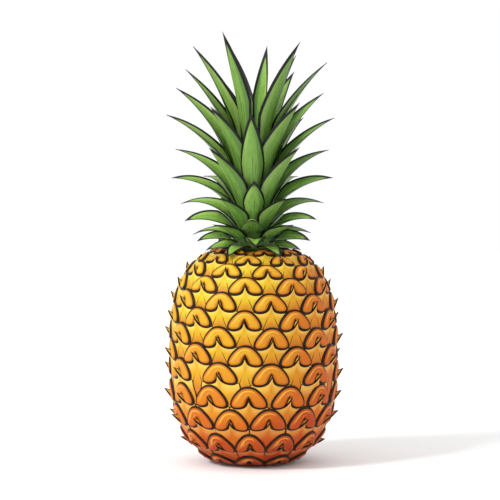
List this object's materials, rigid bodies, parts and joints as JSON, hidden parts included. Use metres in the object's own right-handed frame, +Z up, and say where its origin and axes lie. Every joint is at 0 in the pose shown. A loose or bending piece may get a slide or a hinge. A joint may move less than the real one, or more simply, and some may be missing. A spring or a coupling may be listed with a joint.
{
  "type": "whole pineapple with crown",
  "caption": "Whole ripe pineapple standing upright: barrel-shaped golden fruit with heart-shaped eyes and pointed bracts, topped by a full crown of long green leaves.",
  "frame": {"origin": "centre of the flat cut base, on the floor", "axes": "+Z up along the fruit's axis to the crown, front faces -Y, +X to the right as seen from the front"},
  "size_m": [0.1392, 0.1392, 0.3302],
  "materials": {
    "rind": "waxy rind, yellow at the top to red-orange at the bottom",
    "stalk": "dry cut fibre",
    "stem": "pale fibrous stem",
    "leaf": "satin waxy leaf"
  },
  "bodies": {
    "root": {"fruit": "rind", "cut_stalk": "stalk", "crown_stem": "stem", "leaf_01": "leaf", "leaf_02": "leaf", "leaf_03": "leaf", "leaf_04": "leaf", "leaf_05": "leaf", "leaf_06": "leaf", "leaf_07": "leaf", "leaf_08": "leaf", "leaf_09": "leaf", "leaf_10": "leaf", "leaf_11": "leaf", "leaf_12": "leaf", "leaf_13": "leaf", "leaf_14": "leaf", "leaf_15": "leaf", "leaf_16": "leaf", "leaf_17": "leaf", "leaf_18": "leaf", "leaf_19": "leaf", "leaf_20": "leaf", "leaf_21": "leaf", "leaf_22": "leaf", "leaf_23": "leaf", "leaf_24": "leaf", "leaf_25": "leaf", "leaf_26": "leaf", "leaf_27": "leaf", "leaf_28": "leaf", "leaf_29": "leaf", "leaf_30": "leaf", "leaf_31": "leaf", "leaf_32": "leaf", "leaf_33": "leaf", "leaf_34": "leaf", "leaf_35": "leaf", "leaf_36": "leaf", "leaf_37": "leaf", "leaf_38": "leaf", "leaf_39": "leaf", "leaf_40": "leaf", "leaf_41": "leaf", "leaf_42": "leaf", "leaf_43": "leaf", "leaf_44": "leaf", "leaf_45": "leaf", "leaf_46": "leaf", "leaf_47": "leaf", "leaf_48": "leaf", "leaf_49": "leaf", "leaf_50": "leaf", "leaf_51": "leaf", "leaf_52": "leaf", "leaf_53": "leaf", "leaf_54": "leaf", "leaf_55": "leaf"}
  },
  "joints": []
}
